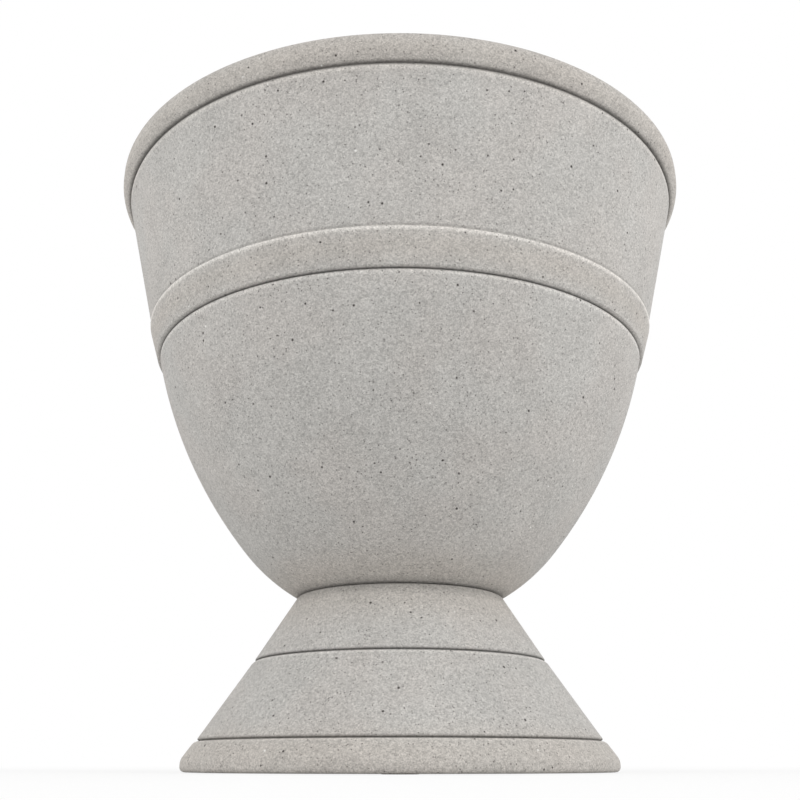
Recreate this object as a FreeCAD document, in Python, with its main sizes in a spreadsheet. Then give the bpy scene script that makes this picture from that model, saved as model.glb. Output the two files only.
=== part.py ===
import FreeCAD, Part

import math
import operator
import os

import Sketcher

# A cast concrete urn planter: a wide bowl bolted onto a short flared foot.
# Millimetres and degrees. +Z is up, and the origin is the middle of the ground under the urn.

# Driving dimensions: alias, value, what it is.
SIZES = [
    ("totalHeight", 400.0, "ground to the top of the rim"),
    ("rimRadius", 203.0, "outer radius of the rim lip"),
    ("lipHeight", 17.5, "height of the rim lip"),
    ("lipProud", 5.7, "how far the lip stands out from the wall below it"),
    ("lipLowerRound", 5.0, "rounding of the lip's lower outer edge"),
    ("lipUpperRound", 4.5, "rounding of the lip's upper outer edge"),
    ("lipInnerBevel", 4.0, "bevel of the rim's inner edge"),
    ("bowlWall", 18.0, "thickness of the bowl's wall"),
    ("bandTopHeight", 289.0, "height of the raised band's upper edge"),
    ("bandWallRadius", 174.9, "radius of the plain wall at the band's upper edge"),
    ("bandHeight", 21.5, "height of the raised band"),
    ("bandProud", 1.3, "how far the band stands out from the plain wall"),
    ("bellyStep", 1.8, "how far the belly's top sits inside the line of the wall"),
    ("bellyBulge", 8.2, "how far the belly's arc bulges beyond the chord from knee to band"),
    ("kneeOut", 37.2, "how far the knee, where the belly meets the heel, is out from the base's edge"),
    ("kneeUp", 30.5, "how far the knee is above the base's edge"),
    ("bowlBaseRadius", 66.5, "edge of the bowl's flat underside"),
    ("bowlFloor", 22.0, "thickness of the bowl's floor"),
    ("floorRound", 12.0, "rounding between the floor and the wall inside"),
    ("spigotRadius", 29.0, "locating spigot under the bowl"),
    ("spigotHeight", 5.0, "height of the locating spigot"),
    ("spigotClear", 1.0, "clearance round and under the spigot"),
    ("deckHeight", 106.5, "height of the pedestal's upper edge"),
    ("deckThick", 24.0, "thickness of the pedestal's deck"),
    ("neckRadius", 67.2, "radius of the pedestal's upper edge"),
    ("upperRevealHeight", 66.0, "height of the upper reveal line"),
    ("upperRevealRadius", 93.9, "radius of the foot at the upper reveal line"),
    ("lowerRevealHeight", 18.1, "height of the lower reveal line"),
    ("lowerRevealRadius", 127.0, "radius of the foot at the lower reveal line"),
    ("revealDepth", 2.1, "depth of a reveal line"),
    ("revealHalf", 0.8, "half the height of a reveal line's mouth"),
    ("shoulderDrop", 2.4, "height of the eased shoulder below a reveal line"),
    ("shoulderInset", 0.7, "how far that shoulder leans in at its top"),
    ("plinthTopRadius", 127.7, "radius where the plinth's slope meets the lower reveal line"),
    ("plinthRadius", 135.7, "outer radius of the plinth"),
    ("plinthEdgeHeight", 7.2, "height where the plinth's slope meets its upright edge"),
    ("plinthRound", 7.0, "rounding between that slope and edge"),
    ("plinthFootBevel", 1.8, "bevel of the plinth's lower outer edge"),
    ("footLand", 29.2, "width of the flat ring that the plinth rests on"),
    ("pedestalWall", 22.0, "level thickness of the pedestal's wall under the deck"),
    ("hollowBevel", 6.0, "bevel between the deck and the wall in the hollow"),
    ("gasketThick", 3.0, "thickness of the gasket between bowl and pedestal"),
    ("gasketRecess", 2.0, "depth of the gasket's recess in the deck"),
    ("gasketRadius", 59.5, "outer radius of the gasket"),
    ("gasketClear", 0.5, "clearance round the gasket"),
    ("boltCircle", 42.0, "radius of the circle of the three tie bolts"),
    ("boltRadius", 4.0, "shank of a tie bolt"),
    ("boltHoleClear", 0.8, "clearance round a tie bolt's shank"),
    ("boltHeadFlats", 13.0, "across the flats of a bolt's head"),
    ("boltHeadHeight", 5.3, "height of a bolt's head"),
    ("boltTail", 3.0, "length of shank that stands below the nut"),
    ("sealRadius", 9.0, "sealing washer's outer radius"),
    ("sealThick", 3.0, "sealing washer's thickness"),
    ("plateRadius", 9.5, "plate washer's outer radius"),
    ("plateThick", 2.0, "plate washer's thickness"),
    ("nutFlats", 13.0, "across the flats of a tie nut"),
    ("nutHeight", 6.5, "height of a tie nut"),
    ("threadClear", 0.05, "clearance between a thread's crest and its mate"),
    ("washerClear", 0.3, "clearance between a washer and the shank in it"),
    ("sleeveRadius", 12.0, "outer radius of the drain sleeve's tube"),
    ("sleeveBore", 9.0, "bore radius of the drain sleeve"),
    ("sleeveHoleClear", 1.0, "clearance between the sleeve and the hole it stands in"),
    ("sleeveTail", 4.0, "length of the sleeve that stands below its nut"),
    ("flangeRadius", 18.0, "flange of the drain sleeve"),
    ("flangeThick", 2.5, "thickness of that flange"),
    ("flangeClear", 2.0, "clearance between the flange and its recess in the floor"),
    ("drainWasherThick", 2.0, "rubber washer under the flange"),
    ("drainNutFlats", 34.0, "across the flats of the sleeve's nut"),
    ("drainNutHeight", 7.0, "height of the sleeve's nut"),
    ("plugClear", 0.3, "clearance round the plug and under its head"),
    ("plugDepth", 14.0, "how deep the plug reaches into the sleeve"),
    ("plugTaper", 0.8, "how much narrower the plug's tip is, on the radius"),
    ("plugHeadRadius", 13.0, "head of the plug"),
    ("plugHeadThick", 3.5, "thickness of the plug's head"),
    ("plugGripRadius", 5.5, "finger grip on the plug"),
    ("plugNeckRadius", 3.2, "waist under the finger grip"),
    ("plugNeckHeight", 6.0, "height of that waist"),
    ("plugGripHeight", 5.0, "height of the finger grip"),
    ("plugBevel", 1.2, "bevel of the plug's tip, head and grip"),
    ("padRadius", 10.0, "radius of a foot pad"),
    ("padThick", 3.0, "thickness of a foot pad"),
    ("padProud", 0.8, "how far a pad stands below the plinth"),
    ("padClear", 0.3, "clearance round a pad in its pocket"),
]
BOLT_COUNT = 3
PAD_COUNT = 4

doc = FreeCAD.newDocument("UrnPlanter")


class Size:
    """A length that keeps its number and the expression that a feature is bound to."""

    def __init__(self, value, text):
        self.value = value
        self.text = text

    def __add__(self, other):
        return combine(self, "+", other)

    def __sub__(self, other):
        return combine(self, "-", other)

    def __mul__(self, other):
        return combine(self, "*", other)

    def __truediv__(self, other):
        return combine(self, "/", other)

    def root(self):
        return Size(math.sqrt(self.value), "sqrt(%s)" % self.text)


def combine(left, sign, right):
    if not isinstance(right, Size):
        right = Size(float(right), repr(float(right)))
    work = {"+": operator.add, "-": operator.sub, "*": operator.mul, "/": operator.truediv}
    value = work[sign](left.value, right.value)
    return Size(value, "(%s %s %s)" % (left.text, sign, right.text))


def fill_sheet():
    """Write the driving dimensions into the sheet, and return them by alias."""
    sheet = doc.addObject("Spreadsheet::Sheet", "Sizes")
    sizes = {}
    for row, (alias, value, note) in enumerate(SIZES, start=1):
        sheet.set("A%d" % row, note)
        sheet.set("B%d" % row, str(value))
        sheet.setAlias("B%d" % row, alias)
        sizes[alias] = Size(value, "<<Sizes>>." + alias)
    doc.recompute()
    return sizes


size = fill_sheet()
nothing = Size(0.0, "0")


# Heights and radii that more than one piece shares.

plinthBottom = size["padProud"]
deckTop = size["deckHeight"]
deckUnderside = deckTop - size["deckThick"]
recessBottom = deckTop - size["gasketRecess"]
bowlBase = recessBottom + size["gasketThick"]
bowlFloorTop = bowlBase + size["bowlFloor"]
spigotBottom = bowlBase - size["spigotHeight"]
socketBottom = spigotBottom - size["spigotClear"]
socketRadius = size["spigotRadius"] + size["spigotClear"]
flangeRecessDepth = size["flangeThick"] + size["drainWasherThick"]
flangeRecessBottom = bowlFloorTop - flangeRecessDepth
boltHole = size["boltRadius"] + size["boltHoleClear"]
sleeveHole = size["sleeveRadius"] + size["sleeveHoleClear"]
hollowMouth = size["plinthRadius"] - size["plinthFootBevel"] - size["footLand"]
padCircle = hollowMouth + size["footLand"] / 2
lipBottom = size["totalHeight"] - size["lipHeight"]
creaseRadius = size["rimRadius"] - size["lipProud"]
wallFlare = (creaseRadius - size["bandWallRadius"]) / (lipBottom - size["bandTopHeight"])
bandBottom = size["bandTopHeight"] - size["bandHeight"]
bandEdgeRadius = size["bandWallRadius"] + size["bandProud"]
wallLevel = size["bowlWall"] * (wallFlare * wallFlare + 1).root()
rimInside = creaseRadius + size["lipHeight"] * wallFlare - wallLevel
bevelBottom = size["totalHeight"] - size["lipInnerBevel"]
grooveHalf = size["revealHalf"]
bellyTop = bandBottom - grooveHalf * 2


def wall_radius(height):
    """Radius of the plain conical wall at a height."""
    return creaseRadius - (lipBottom - height) * wallFlare


def between(height, low_height, low_radius, high_height, high_radius):
    """Radius at a height on the straight slope between two corners."""
    slope = (low_radius - high_radius) / (high_height - low_height)
    return high_radius + (high_height - height) * slope


# Sketch helpers.

def new_body(label, lift=nothing):
    body = doc.addObject("PartDesign::Body", label)
    body.Label = label
    body.AllowCompound = True
    if lift is not nothing:
        body.setExpression("Placement.Base.z", lift.text)
    return body


def new_sketch(body, name, plane="XY_Plane", lift=nothing):
    """A sketch on one of the body's own origin planes, lifted along the plane's normal."""
    sketch = body.newObject("Sketcher::SketchObject", name)
    support = [item for item in body.Origin.OriginFeatures if item.Role == plane][0]
    sketch.AttachmentSupport = [(support, "")]
    sketch.MapMode = "FlatFace"
    if lift is not nothing:
        sketch.AttachmentOffset.Base.z = lift.value
        sketch.setExpression("AttachmentOffset.Base.z", lift.text)
    return sketch


def bind(sketch, kind, *where_and_size):
    """Add a dimension to a sketch and bind it to its size."""
    where, length = where_and_size[:-1], where_and_size[-1]
    index = sketch.addConstraint(Sketcher.Constraint(kind, *where, length.value))
    sketch.setExpression("Constraints[%d]" % index, length.text)


def hold(sketch, kind, *where):
    sketch.addConstraint(Sketcher.Constraint(kind, *where))


def pin(sketch, line, end, radius, height):
    """Fix the end of a line at a radius and a height."""
    if radius is nothing:
        hold(sketch, "PointOnObject", line, end, -2)
    else:
        bind(sketch, "DistanceX", -1, 1, line, end, radius)
    bind(sketch, "DistanceY", -1, 1, line, end, height)


def point(radius, height):
    return FreeCAD.Vector(radius.value, height.value, 0)


def add_circle(sketch, radius, centre_x=nothing):
    middle = FreeCAD.Vector(centre_x.value, 0, 0)
    shape = Part.Circle(middle, FreeCAD.Vector(0, 0, 1), radius.value)
    circle = sketch.addGeometry(shape, False)
    bind(sketch, "Radius", circle, radius)
    if centre_x is nothing:
        hold(sketch, "Coincident", circle, 3, -1, 1)
    else:
        bind(sketch, "DistanceX", -1, 1, circle, 3, centre_x)
        hold(sketch, "PointOnObject", circle, 3, -1)
    return circle


def add_hexagon(sketch, flats, centre_x=nothing):
    """A hexagon with two corners on the sketch's X axis."""
    corner = flats / math.sqrt(3)
    middle = FreeCAD.Vector(centre_x.value, 0, 0)
    guide = add_circle(sketch, corner, centre_x)
    sketch.setConstruction(guide, True)
    corners = []
    for step in range(6):
        turn = math.radians(60 * step)
        offset = FreeCAD.Vector(math.cos(turn), math.sin(turn), 0) * corner.value
        corners.append(middle + offset)
    sides = []
    for step in range(6):
        side = Part.LineSegment(corners[step], corners[(step + 1) % 6])
        sides.append(sketch.addGeometry(side, False))
    for step in range(6):
        hold(sketch, "Coincident", sides[step], 2, sides[(step + 1) % 6], 1)
        hold(sketch, "PointOnObject", sides[step], 1, guide)
    for side in sides[1:]:
        hold(sketch, "Equal", sides[0], side)
    hold(sketch, "PointOnObject", sides[0], 1, -1)


def leaving(sketch, curve, end):
    """The direction in which a curve runs away from one of its ends."""
    shape = sketch.Geometry[curve]
    if end == 1:
        return shape.tangent(shape.FirstParameter)[0]
    return shape.tangent(shape.LastParameter)[0] * -1


def round_corner(sketch, first, second, rounding):
    """An arc between the ends of two curves, tangent to both. An end is a curve and its end."""
    back = leaving(sketch, *first)
    ahead = leaving(sketch, *second)
    half = back.getAngle(ahead) / 2
    corner = sketch.getPoint(*first)
    centre = corner + (back + ahead).normalize() * (rounding.value / math.sin(half))
    reach = rounding.value / math.tan(half)
    touches = [corner + back * reach - centre, corner + ahead * reach - centre]
    angles = [math.atan2(touch.y, touch.x) for touch in touches]
    turns_left = ahead.cross(back).z > 0
    if not turns_left:
        angles.reverse()
    circle = Part.Circle(centre, FreeCAD.Vector(0, 0, 1), rounding.value)
    arc = sketch.addGeometry(Part.ArcOfCircle(circle, *angles), False)
    hold(sketch, "Tangent", *first, arc, 1 if turns_left else 2)
    hold(sketch, "Tangent", *second, arc, 2 if turns_left else 1)
    bind(sketch, "Radius", arc, rounding)


def fix_corner(sketch, first, second, radius, height, rounding=None):
    """Fix the corner between the ends of two curves, and round it if asked."""
    if rounding is None:
        hold(sketch, "Coincident", *first, *second)
        pin(sketch, *first, radius, height)
        return
    corner = sketch.addGeometry(Part.Point(point(radius, height)), True)
    pin(sketch, corner, 1, radius, height)
    hold(sketch, "PointOnObject", corner, 1, first[0])
    hold(sketch, "PointOnObject", corner, 1, second[0])
    round_corner(sketch, first, second, rounding)


def add_line(sketch, start, end):
    return sketch.addGeometry(Part.LineSegment(start, end), False)


def add_chain(sketch, corners):
    """Straight lines from corner to corner. A corner is a radius, a height and any rounding."""
    lines = []
    for first, second in zip(corners, corners[1:]):
        lines.append(add_line(sketch, point(*first[:2]), point(*second[:2])))
    for line, following, corner in zip(lines, lines[1:], corners[1:]):
        fix_corner(sketch, (line, 2), (following, 1), *corner)
    return lines


def section(body, name, corners):
    """Half of a round piece's section on the XZ plane, closed from its last corner to its first."""
    sketch = new_sketch(body, name, "XZ_Plane")
    lines = add_chain(sketch, corners + corners[:1])
    fix_corner(sketch, (lines[-1], 2), (lines[0], 1), *corners[0])
    return sketch


# Feature helpers.

def check(item):
    """Stop if a feature is broken."""
    if "Invalid" in item.State or "Error" in item.State:
        raise RuntimeError("%s failed: %s" % (item.Label, item.State))


def revolve(body, name, sketch):
    turned = body.newObject("PartDesign::Revolution", name)
    turned.Profile = sketch
    turned.ReferenceAxis = (sketch, ["V_Axis"])
    turned.Angle = 360
    doc.recompute()
    return turned


def pad(body, name, sketch, length):
    raised = body.newObject("PartDesign::Pad", name)
    raised.Profile = sketch
    raised.Length = length.value
    raised.setExpression("Length", length.text)
    doc.recompute()
    return raised


def cut_upwards(body, name, sketch, depth=None):
    """A pocket from the sketch's height upwards: through all, or as deep as asked."""
    before = body.Shape.Volume
    cut = body.newObject("PartDesign::Pocket", name)
    cut.Profile = sketch
    cut.Reversed = True
    if depth is None:
        cut.Type = "ThroughAll"
    else:
        cut.Length = depth.value
        cut.setExpression("Length", depth.text)
    doc.recompute()
    if body.Shape.Volume >= before:
        raise RuntimeError(name + " cuts nothing")
    return cut


def repeat_round(body, name, features, count):
    """Copies of the features, evenly spaced round the urn's axis."""
    pattern = body.newObject("PartDesign::PolarPattern", name)
    pattern.Originals = features
    pattern.Axis = (features[0].Profile[0], ["N_Axis"])
    pattern.Angle = 360
    pattern.Occurrences = count
    body.Tip = pattern
    doc.recompute()
    return pattern


# The bowl.

bellyTopRadius = wall_radius(bellyTop) - size["bellyStep"]
kneeRadius = size["bowlBaseRadius"] + size["kneeOut"]
kneeHeight = bowlBase + size["kneeUp"]
chordRun = bellyTopRadius - kneeRadius
chordRise = bellyTop - kneeHeight
chord = (chordRun * chordRun + chordRise * chordRise).root()
bellyRadius = chord * chord / (size["bellyBulge"] * 8) + size["bellyBulge"] / 2
grooveRadius = bellyTopRadius - size["revealDepth"] / 2


def spoke(angle, length=1.0):
    """A vector that points outwards and down by an angle."""
    return FreeCAD.Vector(math.cos(angle), -math.sin(angle), 0) * length


class BowlCurves:
    """Where the belly's arcs lie, as a first shape for the sketch's constraints to hold."""

    def __init__(self):
        wall = size["bowlWall"].value
        chordLean = math.atan2(chordRun.value, chordRise.value)
        halfTurn = math.asin(chord.value / 2 / bellyRadius.value)
        self.lean = chordLean - halfTurn
        self.kneeAngle = chordLean + halfTurn
        self.belly = bellyRadius.value
        self.centre = point(bellyTopRadius, bellyTop) - spoke(self.lean, self.belly)
        knee = point(kneeRadius, kneeHeight)
        reach = knee - point(size["bowlBaseRadius"], bowlBase)
        self.heel = reach.dot(reach) / (2 * reach.dot(spoke(self.kneeAngle)))
        self.heelCentre = knee - spoke(self.kneeAngle, self.heel)
        self.baseAngle = math.asin((self.heelCentre.y - bowlBase.value) / self.heel)
        self.innerBelly = self.belly - wall
        self.innerHeel = self.heel - wall
        drop = self.heelCentre.y - bowlFloorTop.value
        self.floorAngle = math.asin(drop / self.innerHeel)


def add_arc(sketch, centre, radius, low_angle, high_angle):
    """An arc on the outer side of its centre. Its first end is the lower one."""
    circle = Part.Circle(centre, FreeCAD.Vector(0, 0, 1), radius)
    return sketch.addGeometry(Part.ArcOfCircle(circle, -low_angle, -high_angle), False)


def bowl_outside(sketch, curves):
    """The outer line from the base up to the rim's top: two arcs, the groove, band and lip."""
    heel = add_arc(sketch, curves.heelCentre, curves.heel, curves.baseAngle, curves.kneeAngle)
    belly = add_arc(sketch, curves.centre, curves.belly, curves.kneeAngle, curves.lean)
    wall = add_chain(
        sketch,
        [
            (bellyTopRadius, bellyTop),
            (grooveRadius, bellyTop + grooveHalf),
            (wall_radius(bandBottom), bandBottom),
            (bandEdgeRadius, size["bandTopHeight"]),
            (size["bandWallRadius"], size["bandTopHeight"]),
            (creaseRadius, lipBottom),
            (size["rimRadius"], lipBottom, size["lipLowerRound"]),
            (size["rimRadius"], size["totalHeight"], size["lipUpperRound"]),
            (rimInside + size["lipInnerBevel"], size["totalHeight"]),
            (rimInside - size["lipInnerBevel"] * wallFlare, bevelBottom),
        ],
    )
    hold(sketch, "Tangent", heel, 2, belly, 1)
    fix_corner(sketch, (belly, 2), (wall[0], 1), bellyTopRadius, bellyTop)
    pin(sketch, belly, 1, kneeRadius, kneeHeight)
    bind(sketch, "Radius", belly, bellyRadius)
    return heel, belly, wall


def bowl_inside(sketch, curves, heel, belly, wall):
    """The inner line from the rim down to the floor, one wall's thickness inside the outer one."""
    high = curves.centre + spoke(curves.lean, curves.innerBelly)
    bevelEdge = (rimInside - size["lipInnerBevel"] * wallFlare, bevelBottom)
    inner = add_line(sketch, point(*bevelEdge), high)
    innerBelly = add_arc(sketch, curves.centre, curves.innerBelly, curves.kneeAngle, curves.lean)
    innerHeel = add_arc(
        sketch, curves.heelCentre, curves.innerHeel, curves.floorAngle, curves.kneeAngle
    )
    floorEdge = curves.heelCentre + spoke(curves.floorAngle, curves.innerHeel)
    floor = add_line(sketch, floorEdge, point(nothing, bowlFloorTop))
    fix_corner(sketch, (wall[-1], 2), (inner, 1), *bevelEdge)
    guide = add_line(sketch, curves.centre, point(bellyTopRadius, bellyTop))
    sketch.setConstruction(guide, True)
    hold(sketch, "Coincident", guide, 1, belly, 3)
    hold(sketch, "Coincident", guide, 2, belly, 2)
    hold(sketch, "PointOnObject", innerBelly, 2, guide)
    hold(sketch, "Coincident", inner, 2, innerBelly, 2)
    hold(sketch, "Coincident", innerBelly, 3, belly, 3)
    bind(sketch, "Radius", innerBelly, bellyRadius - size["bowlWall"])
    hold(sketch, "Tangent", innerBelly, 1, innerHeel, 2)
    hold(sketch, "Coincident", innerHeel, 3, heel, 3)
    round_corner(sketch, (innerHeel, 1), (floor, 1), size["floorRound"])
    hold(sketch, "Horizontal", floor)
    return floor


def bowl_section(body):
    """Half of the bowl's section, on the XZ plane."""
    sketch = new_sketch(body, "bowlSection", "XZ_Plane")
    curves = BowlCurves()
    heel, belly, wall = bowl_outside(sketch, curves)
    floor = bowl_inside(sketch, curves, heel, belly, wall)
    base = (size["bowlBaseRadius"], bowlBase)
    under = add_chain(
        sketch,
        [
            (nothing, bowlFloorTop),
            (nothing, spigotBottom),
            (size["spigotRadius"], spigotBottom),
            (size["spigotRadius"], bowlBase),
            base,
        ],
    )
    fix_corner(sketch, (floor, 2), (under[0], 1), nothing, bowlFloorTop)
    fix_corner(sketch, (under[-1], 2), (heel, 1), *base)
    return sketch


def make_bowl():
    body = new_body("bowl")
    revolve(body, "bowlCasting", bowl_section(body))
    drain = new_sketch(body, "drainHoleSketch")
    add_circle(drain, sleeveHole)
    cut_upwards(body, "drainHole", drain)
    recess = new_sketch(body, "flangeRecessSketch", lift=flangeRecessBottom)
    add_circle(recess, size["flangeRadius"] + size["flangeClear"])
    cut_upwards(body, "flangeRecess", recess, flangeRecessDepth * 2)
    bolt_holes(body, "bowl")
    return body


def bolt_holes(body, name):
    sketch = new_sketch(body, name + "BoltHoleSketch")
    add_circle(sketch, boltHole, size["boltCircle"])
    hole = cut_upwards(body, name + "BoltHole", sketch)
    repeat_round(body, name + "BoltHoles", [hole], BOLT_COUNT)


# The pedestal.

def upper_slope(height):
    return between(
        height,
        size["upperRevealHeight"],
        size["upperRevealRadius"],
        deckTop,
        size["neckRadius"],
    )


def lower_slope(height):
    return between(
        height,
        size["lowerRevealHeight"],
        size["lowerRevealRadius"],
        size["upperRevealHeight"],
        size["upperRevealRadius"],
    )


def plinth_slope(height):
    return between(
        height,
        size["plinthEdgeHeight"],
        size["plinthRadius"],
        size["lowerRevealHeight"],
        size["plinthTopRadius"],
    )


def reveal(height, radius, above, below):
    """A reveal line's corners: upper edge, bottom, lower edge and the end of its shoulder."""
    half = size["revealHalf"]
    low = height - half
    shoulder = low - size["shoulderDrop"]
    return [
        (above(height + half), height + half),
        (radius - size["revealDepth"], height),
        (below(low) - size["shoulderInset"], low),
        (below(shoulder), shoulder),
    ]


def pedestal_section(body):
    """Half of the pedestal's section: hollow, land, plinth, two slopes, deck and recesses."""
    recessRadius = size["gasketRadius"] + size["gasketClear"]
    hollowTop = upper_slope(deckUnderside) - size["pedestalWall"]
    bevel = size["hollowBevel"]
    bevelFoot = deckUnderside - bevel
    bevelRadius = between(bevelFoot, plinthBottom, hollowMouth, deckUnderside, hollowTop)
    foot = size["plinthFootBevel"]
    edge = (size["plinthRadius"], size["plinthEdgeHeight"])
    lower = reveal(
        size["lowerRevealHeight"], size["lowerRevealRadius"], lower_slope, plinth_slope
    )
    upper = reveal(
        size["upperRevealHeight"], size["upperRevealRadius"], upper_slope, lower_slope
    )
    corners = [
        (nothing, socketBottom),
        (nothing, deckUnderside),
        (hollowTop - bevel, deckUnderside),
        (bevelRadius, bevelFoot),
        (hollowMouth, plinthBottom),
        (size["plinthRadius"] - foot, plinthBottom),
        (size["plinthRadius"], plinthBottom + foot),
        edge + (size["plinthRound"],),
    ]
    corners += reversed(lower)
    corners += reversed(upper)
    corners += [
        (size["neckRadius"], deckTop),
        (recessRadius, deckTop),
        (recessRadius, recessBottom),
        (socketRadius, recessBottom),
        (socketRadius, socketBottom),
    ]
    return section(body, "pedestalSection", corners)


def make_pedestal():
    body = new_body("pedestal")
    revolve(body, "pedestalCasting", pedestal_section(body))
    drain = new_sketch(body, "deckDrainSketch")
    add_circle(drain, sleeveHole)
    cut_upwards(body, "deckDrain", drain)
    bolt_holes(body, "deck")
    pocket = new_sketch(body, "padPocketSketch")
    add_circle(pocket, size["padRadius"] + size["padClear"], padCircle)
    hole = cut_upwards(body, "padPocket", pocket, size["padThick"])
    repeat_round(body, "padPockets", [hole], PAD_COUNT)
    return body


# The joint between bowl and pedestal.

def make_seat_gasket():
    body = new_body("seat_gasket", recessBottom)
    sketch = new_sketch(body, "gasketSketch")
    add_circle(sketch, size["gasketRadius"])
    add_circle(sketch, socketRadius + size["gasketClear"])
    pad(body, "gasketRing", sketch, size["gasketThick"])
    bolt_holes(body, "gasket")
    return body


def make_tie_bolts():
    """Bolts with their heads up, standing on the sealing washers."""
    grip = size["sealThick"] + size["bowlFloor"] + (bowlBase - deckUnderside) + size["plateThick"]
    shankLength = grip + size["nutHeight"] + size["boltTail"]
    shankTop = bowlFloorTop + size["sealThick"]
    body = new_body("tie_bolts", shankTop - shankLength)
    shankSketch = new_sketch(body, "shankSketch")
    add_circle(shankSketch, size["boltRadius"], size["boltCircle"])
    shank = pad(body, "shank", shankSketch, shankLength + size["boltHeadHeight"] / 2)
    headSketch = new_sketch(body, "headSketch", lift=shankLength)
    add_hexagon(headSketch, size["boltHeadFlats"], size["boltCircle"])
    head = pad(body, "head", headSketch, size["boltHeadHeight"])
    repeat_round(body, "bolts", [shank, head], BOLT_COUNT)
    return body


def make_washers(label, lift, outer, thick):
    body = new_body(label, lift)
    sketch = new_sketch(body, label + "Sketch")
    add_circle(sketch, outer, size["boltCircle"])
    add_circle(sketch, size["boltRadius"] + size["washerClear"], size["boltCircle"])
    washer = pad(body, label + "Ring", sketch, thick)
    repeat_round(body, label + "Set", [washer], BOLT_COUNT)
    return body


def make_tie_nuts():
    body = new_body("tie_nuts", deckUnderside - size["plateThick"] - size["nutHeight"])
    sketch = new_sketch(body, "nutSketch")
    add_hexagon(sketch, size["nutFlats"], size["boltCircle"])
    add_circle(sketch, size["boltRadius"] + size["threadClear"], size["boltCircle"])
    nut = pad(body, "nut", sketch, size["nutHeight"])
    repeat_round(body, "nuts", [nut], BOLT_COUNT)
    return body


# The drain.

def make_drain_sleeve():
    tubeBottom = deckUnderside - size["drainNutHeight"] - size["sleeveTail"]
    flangeBottom = bowlFloorTop - size["flangeThick"]
    body = new_body("drain_sleeve")
    corners = [
        (size["sleeveBore"], tubeBottom),
        (size["sleeveRadius"], tubeBottom),
        (size["sleeveRadius"], flangeBottom),
        (size["flangeRadius"], flangeBottom),
        (size["flangeRadius"], bowlFloorTop),
        (size["sleeveBore"], bowlFloorTop),
    ]
    revolve(body, "sleeve", section(body, "sleeveSection", corners))
    return body


def make_drain_washer():
    body = new_body("drain_washer", flangeRecessBottom)
    sketch = new_sketch(body, "drainWasherSketch")
    add_circle(sketch, size["flangeRadius"])
    add_circle(sketch, size["sleeveRadius"] + size["washerClear"])
    pad(body, "drainWasherRing", sketch, size["drainWasherThick"])
    return body


def make_drain_nut():
    body = new_body("drain_nut", deckUnderside - size["drainNutHeight"])
    sketch = new_sketch(body, "drainNutSketch")
    add_hexagon(sketch, size["drainNutFlats"])
    add_circle(sketch, size["sleeveRadius"] + size["threadClear"])
    pad(body, "drainNutRing", sketch, size["drainNutHeight"])
    return body


def make_drain_plug():
    """A stopper with a tapered stem, a flat head and a waisted finger grip."""
    body = new_body("drain_plug", bowlFloorTop + size["plugClear"])
    bevel = size["plugBevel"]
    stemTop = size["sleeveBore"] - size["plugClear"]
    stemTip = stemTop - size["plugTaper"]
    tip = nothing - size["plugDepth"]
    headTop = size["plugHeadThick"]
    gripBottom = headTop + size["plugNeckHeight"]
    gripTop = gripBottom + size["plugGripHeight"]
    corners = [
        (nothing, tip),
        (stemTip - bevel, tip),
        (stemTip, tip + bevel),
        (stemTop, nothing),
        (size["plugHeadRadius"], nothing),
        (size["plugHeadRadius"], headTop - bevel),
        (size["plugHeadRadius"] - bevel, headTop),
        (size["plugNeckRadius"], headTop),
        (size["plugNeckRadius"], gripBottom - bevel),
        (size["plugGripRadius"], gripBottom),
        (size["plugGripRadius"], gripTop - bevel),
        (size["plugGripRadius"] - bevel, gripTop),
        (nothing, gripTop),
    ]
    revolve(body, "stopper", section(body, "plugSection", corners))
    return body


def make_foot_pads():
    body = new_body("foot_pads")
    sketch = new_sketch(body, "padSketch")
    add_circle(sketch, size["padRadius"], padCircle)
    disc = pad(body, "disc", sketch, size["padThick"])
    repeat_round(body, "discs", [disc], PAD_COUNT)
    return body


def make_all():
    bodies = [
        make_bowl(),
        make_pedestal(),
        make_seat_gasket(),
        make_tie_bolts(),
        make_washers("seal_washers", bowlFloorTop, size["sealRadius"], size["sealThick"]),
        make_washers(
            "plate_washers",
            deckUnderside - size["plateThick"],
            size["plateRadius"],
            size["plateThick"],
        ),
        make_tie_nuts(),
        make_drain_sleeve(),
        make_drain_washer(),
        make_drain_nut(),
        make_drain_plug(),
        make_foot_pads(),
    ]
    doc.recompute()
    for item in doc.Objects:
        check(item)
    os.makedirs("parts", exist_ok=True)
    for body in bodies:
        shape = body.Shape
        if shape.isNull() or not shape.isValid():
            raise RuntimeError(body.Label + " has no valid shape")
        shape.exportStep("parts/%s.step" % body.Label)
        box = shape.BoundBox
        print(
            "%-14s %d solids, %9.1f mm3, z %.2f to %.2f"
            % (body.Label, len(shape.Solids), shape.Volume, box.ZMin, box.ZMax)
        )


make_all()
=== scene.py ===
import math

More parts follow.
